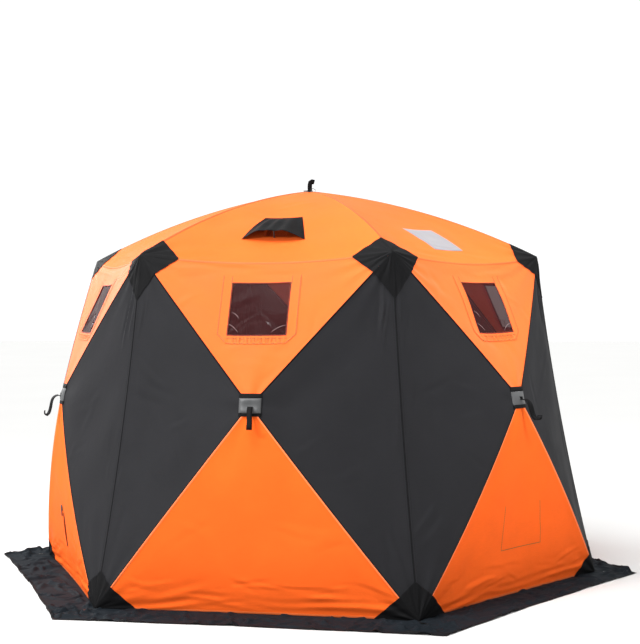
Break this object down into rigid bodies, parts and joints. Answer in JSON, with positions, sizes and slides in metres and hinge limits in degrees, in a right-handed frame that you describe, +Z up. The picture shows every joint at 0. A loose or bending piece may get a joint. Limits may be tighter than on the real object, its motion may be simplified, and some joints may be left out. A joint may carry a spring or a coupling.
{
  "type": "ice fishing hut",
  "caption": "Pop-up hexagonal ice fishing hut of orange and black oxford cloth on crossed bowed poles, with windows, vents and a ground skirt.",
  "frame": {"origin": "on the ground under the peak, at the middle of the skirt's bounding box", "axes": "+Z up; wall 1 with a window faces -Y; wall corners on the X axis, so X is the longest way across"},
  "size_m": [3.58, 3.1004, 2.1154],
  "materials": {
    "roof_cloth": "coated polyester oxford, orange, matt",
    "wall_cloth": "coated polyester oxford, orange, matt",
    "side_cloth": "coated polyester oxford, black, matt",
    "window_film": "tinted clear film",
    "patch_cloth": "heavy woven polyester, black",
    "reflective_cloth": "grey reflective cloth",
    "light_cloth": "pale grey reflective cloth",
    "webbing": "woven webbing",
    "mesh": "fine mesh",
    "pole": "glass fibre rod",
    "joint": "moulded nylon",
    "eyelet": "rolled brass, blackened",
    "zip": "coil zip on tape"
  },
  "bodies": {
    "root": {"roof_gore_1": "roof_cloth", "roof_gore_2": "roof_cloth", "roof_gore_3": "roof_cloth", "roof_gore_4": "roof_cloth", "roof_gore_5": "roof_cloth", "roof_gore_6": "roof_cloth", "upper_wall_1": "wall_cloth", "upper_wall_2": "wall_cloth", "upper_wall_3": "wall_cloth", "upper_wall_4": "wall_cloth", "upper_wall_5": "wall_cloth", "upper_wall_6": "wall_cloth", "lower_wall_1": "wall_cloth", "lower_wall_2": "wall_cloth", "lower_wall_3": "wall_cloth", "lower_wall_4": "wall_cloth", "lower_wall_5": "wall_cloth", "lower_wall_6": "wall_cloth", "side_panel_1": "side_cloth", "side_panel_2": "side_cloth", "side_panel_3": "side_cloth", "side_panel_4": "side_cloth", "side_panel_5": "side_cloth", "side_panel_6": "side_cloth", "window_panes": "window_film", "window_frames": "wall_cloth", "vent_hoods": "patch_cloth", "vent_meshes": "mesh", "vent_props": "joint", "roof_patch": "light_cloth", "peak_loop": "webbing", "hub_patches": "reflective_cloth", "hub_webbing": "webbing", "pull_straps": "webbing", "corner_patches": "patch_cloth", "ground_skirt": "patch_cloth", "skirt_eyelets": "eyelet", "zips": "zip", "port_flap": "wall_cloth", "inner_pocket": "wall_cloth", "roof_poles": "pole", "wall_poles": "pole", "roof_hub": "joint", "wall_hubs": "joint", "corner_joints": "joint"}
  },
  "joints": []
}
